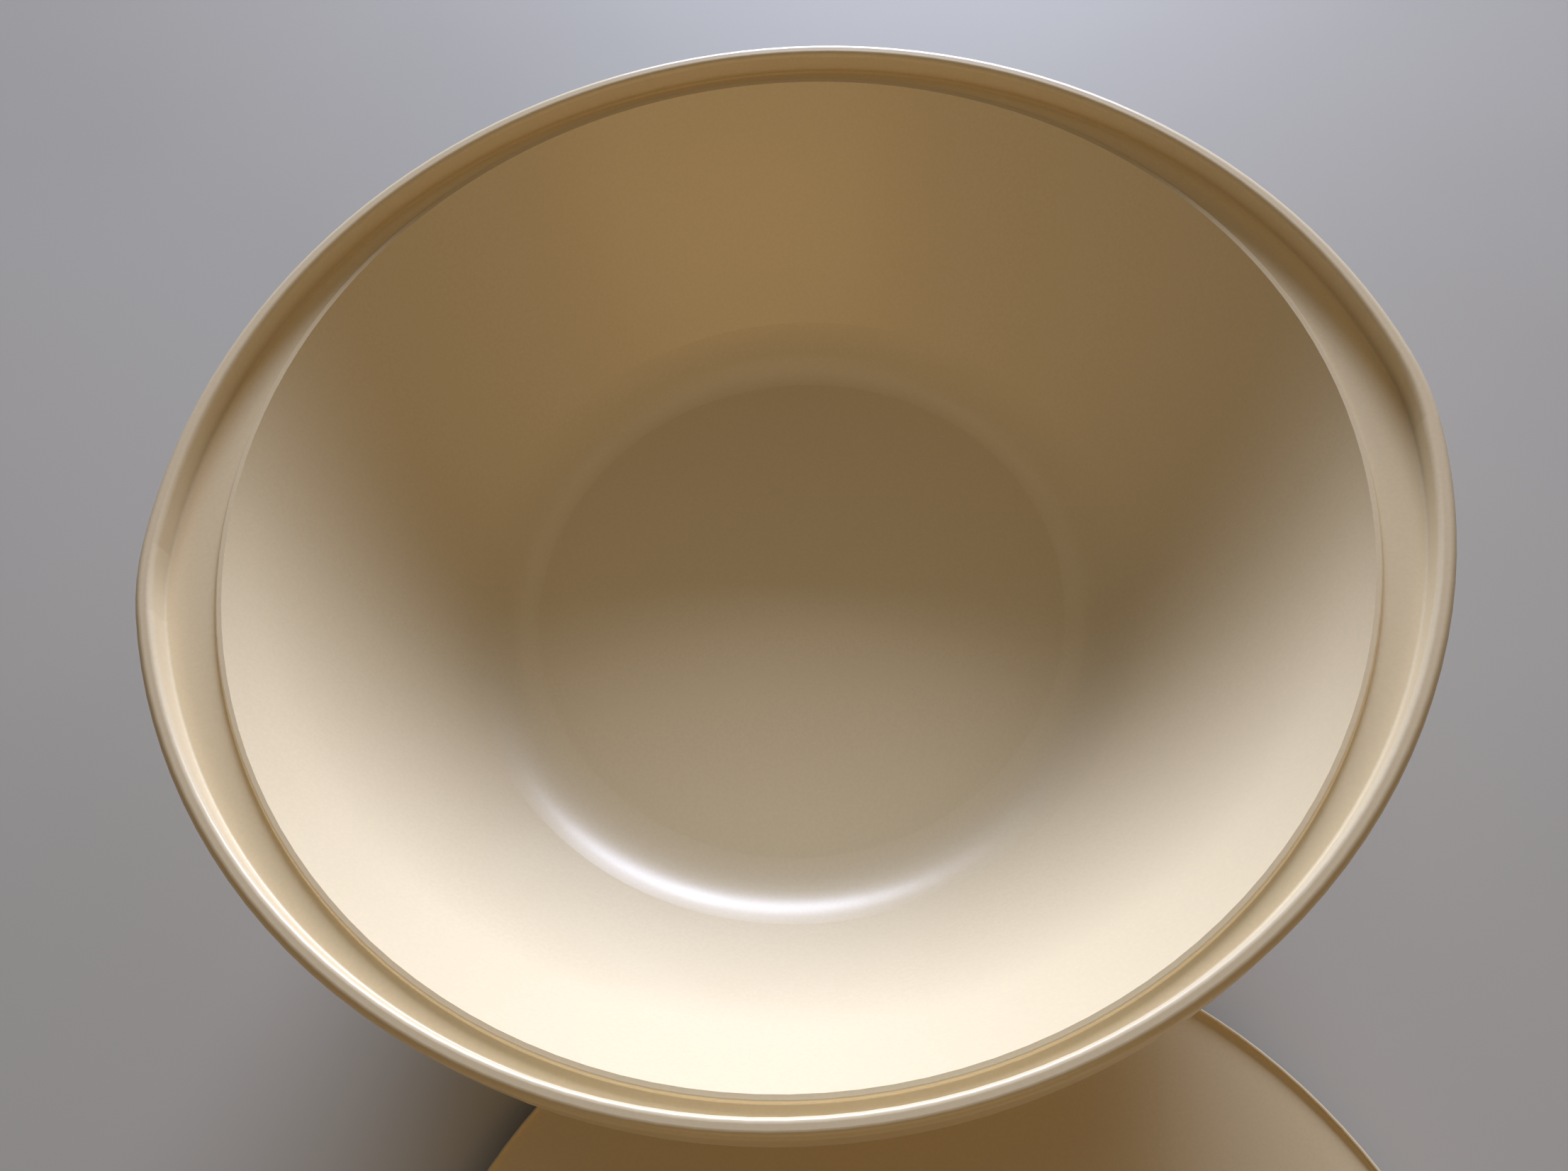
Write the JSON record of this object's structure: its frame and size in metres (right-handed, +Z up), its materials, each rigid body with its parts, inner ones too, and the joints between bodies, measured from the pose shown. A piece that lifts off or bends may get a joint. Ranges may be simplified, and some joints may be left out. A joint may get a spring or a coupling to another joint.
{
  "type": "rice bowl",
  "caption": "Round serving bowl with a wide oval rim and ears, a separate foot shell under it and a loose round lid beside it.",
  "frame": {"origin": "centre of the foot, on the surface the bowl stands on", "axes": "+Z up along the bowl's axis, X through the two ears of the rim, -Y towards the lid"},
  "size_m": [0.2728, 0.4439, 0.115],
  "materials": {
    "bowl_plastic": "soft gloss",
    "shell_plastic": "soft gloss",
    "lid_plastic": "soft gloss"
  },
  "bodies": {
    "base": {"outer_shell": "shell_plastic"},
    "bowl": {"inner_bowl": "bowl_plastic"},
    "lid": {"lid": "lid_plastic"}
  },
  "joints": [
    {"name": "bowl_lift", "type": "slide", "parent": "base", "child": "bowl", "axis": [0, 0, 1], "range_m": [0, 0.12]},
    {"name": "lid_draw", "type": "slide", "parent": "base", "child": "lid", "axis": [0, -1, 0], "range_m": [0, 0.16]}
  ]
}
